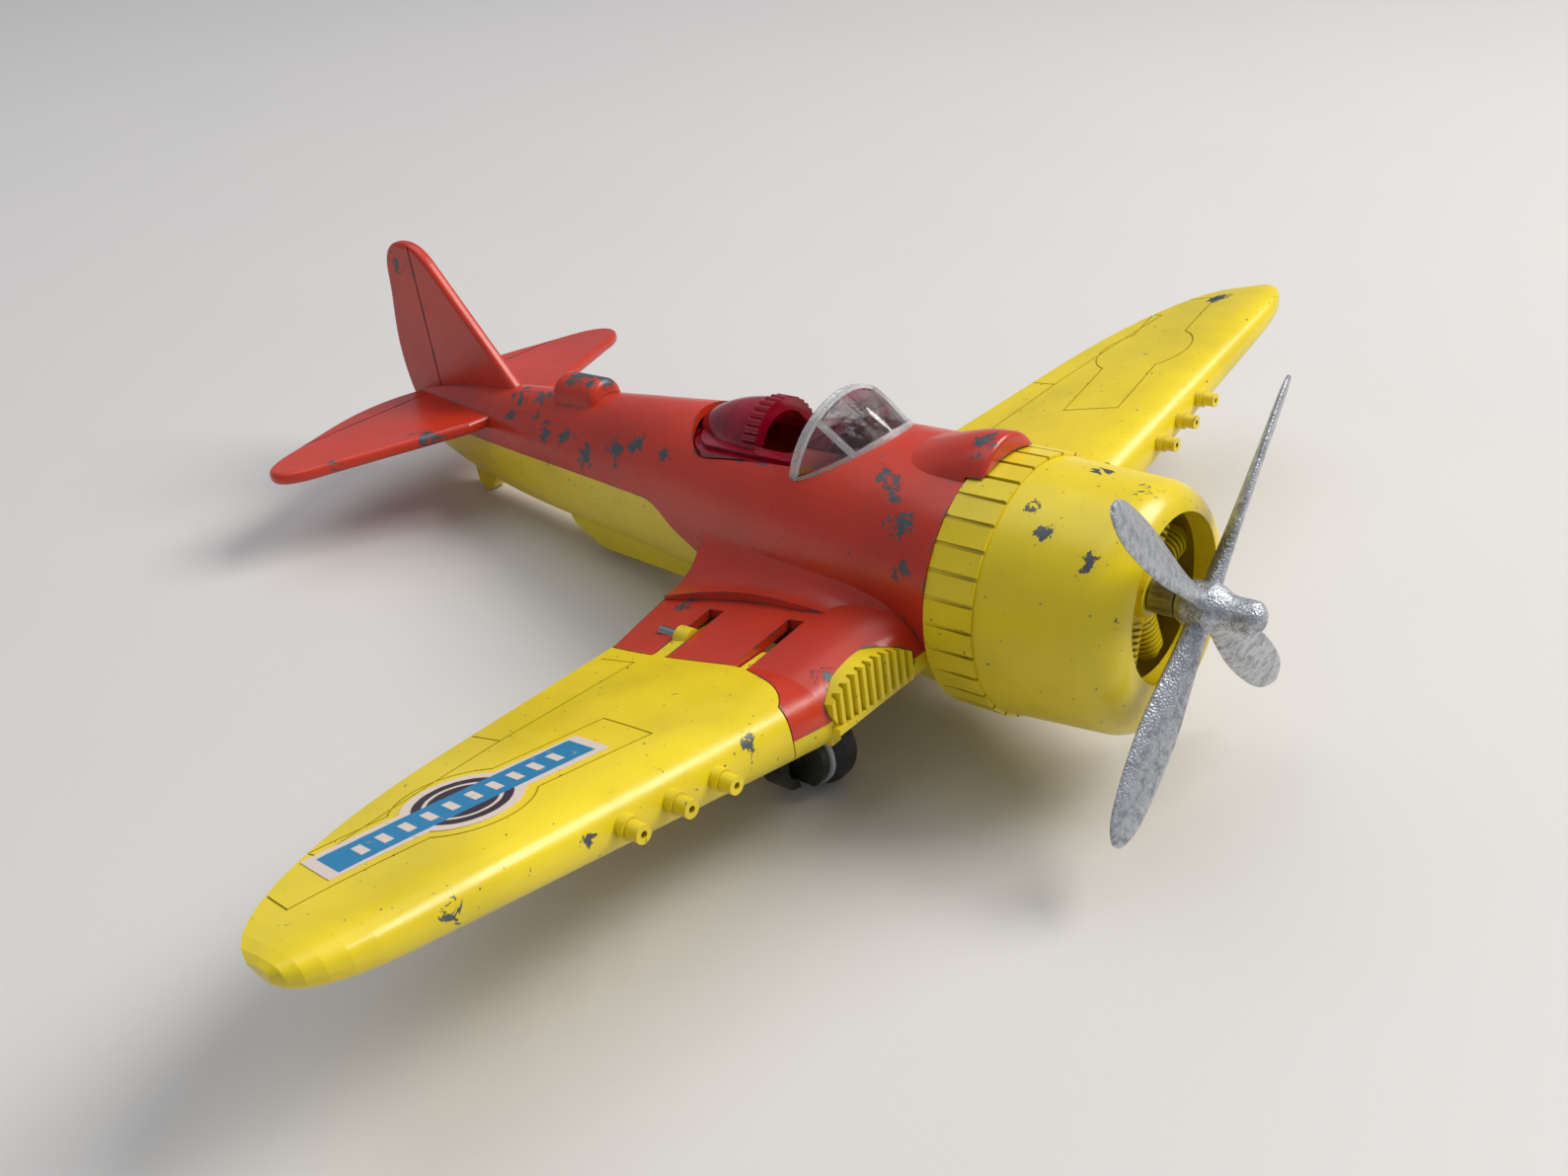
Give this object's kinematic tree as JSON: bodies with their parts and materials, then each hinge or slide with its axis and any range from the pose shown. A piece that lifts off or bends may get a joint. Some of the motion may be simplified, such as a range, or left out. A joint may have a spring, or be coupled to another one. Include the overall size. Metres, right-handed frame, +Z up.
{
  "type": "toy airplane",
  "caption": "Die-cast toy fighter with folding wings, retracting wheels, free-spinning propeller, sliding canopy and worn two-tone paint",
  "frame": {"origin": "middle of the bounding box in plan, on the ground plane under the wheels", "axes": "X forward along the fuselage, Y to port, Z up; the fuselage sits 8.5 degrees nose up"},
  "size_m": [0.2226, 0.2794, 0.0725],
  "materials": {
    "red_paint": "chipped orange-red enamel on zinc",
    "yellow_paint": "chipped bright yellow enamel on zinc",
    "cowling_paint": "chipped bright yellow enamel on zinc",
    "engine_paint": "yellow enamel",
    "bare_zinc": "bare rough cast zinc",
    "shaft_steel": "plain steel",
    "collar_steel": "plain steel",
    "clear_plastic": "clear moulded plastic",
    "crimson_plastic": "translucent crimson plastic",
    "screw_steel": "plated steel",
    "label_paper": "printed paper, aged",
    "panel_paint": "chipped bright yellow enamel on zinc",
    "pin_steel": "plain steel",
    "leg_plastic": "dark greenish black plastic",
    "hub_plastic": "light grey plastic",
    "tyre_rubber": "black rubber"
  },
  "bodies": {
    "airframe": {"upper_casting": "red_paint", "lower_casting": "yellow_paint", "engine_cowling": "cowling_paint", "engine_casting": "engine_paint", "propeller_shaft": "shaft_steel", "shaft_collar": "collar_steel", "windshield": "clear_plastic", "casting_screws": "screw_steel", "port_wing_hinge_pin": "pin_steel", "starboard_wing_hinge_pin": "pin_steel"},
    "propeller": {"propeller": "bare_zinc"},
    "canopy": {"canopy": "crimson_plastic"},
    "port_wing": {"port_wing_panel": "panel_paint"},
    "port_gear": {"port_gear_leg": "leg_plastic", "port_gear_pivot_pin": "pin_steel", "port_wheel_axle": "pin_steel"},
    "port_wheel": {"port_tyre": "tyre_rubber", "port_wheel_hub": "hub_plastic"},
    "starboard_wing": {"starboard_wing_panel": "panel_paint", "starboard_wing_label": "label_paper"},
    "starboard_gear": {"starboard_gear_leg": "leg_plastic", "starboard_gear_pivot_pin": "pin_steel", "starboard_wheel_axle": "pin_steel"},
    "starboard_wheel": {"starboard_tyre": "tyre_rubber", "starboard_wheel_hub": "hub_plastic"}
  },
  "joints": [
    {"name": "propeller_spin", "type": "hinge", "parent": "airframe", "child": "propeller", "pos_m": [0.101, 0, 0.0426], "axis": [0.989, 0, 0.1478], "continuous": true},
    {"name": "canopy_slide", "type": "slide", "parent": "airframe", "child": "canopy", "axis": [0.989, 0, 0.1478], "range_m": [0, 0.012]},
    {"name": "port_wing_fold", "type": "hinge", "parent": "airframe", "child": "port_wing", "pos_m": [0.03112, 0.0385, 0.02306], "axis": [0.989, 0, 0.1478], "range_deg": [0, 90]},
    {"name": "port_gear_retract", "type": "hinge", "parent": "airframe", "child": "port_gear", "pos_m": [0.04257, 0.04045, 0.01749], "axis": [0, 1, 0], "range_deg": [0, 90]},
    {"name": "port_wheel_spin", "type": "hinge", "parent": "port_gear", "child": "port_wheel", "pos_m": [0.04753, 0.0333, 0.008], "axis": [0, 1, 0], "continuous": true},
    {"name": "starboard_wing_fold", "type": "hinge", "parent": "airframe", "child": "starboard_wing", "pos_m": [0.03112, -0.0385, 0.02306], "axis": [-0.989, 0, -0.1478], "range_deg": [0, 90]},
    {"name": "starboard_gear_retract", "type": "hinge", "parent": "airframe", "child": "starboard_gear", "pos_m": [0.04257, -0.04045, 0.01749], "axis": [0, 1, 0], "range_deg": [0, 90]},
    {"name": "starboard_wheel_spin", "type": "hinge", "parent": "starboard_gear", "child": "starboard_wheel", "pos_m": [0.04753, -0.0333, 0.008], "axis": [0, 1, 0], "continuous": true}
  ]
}
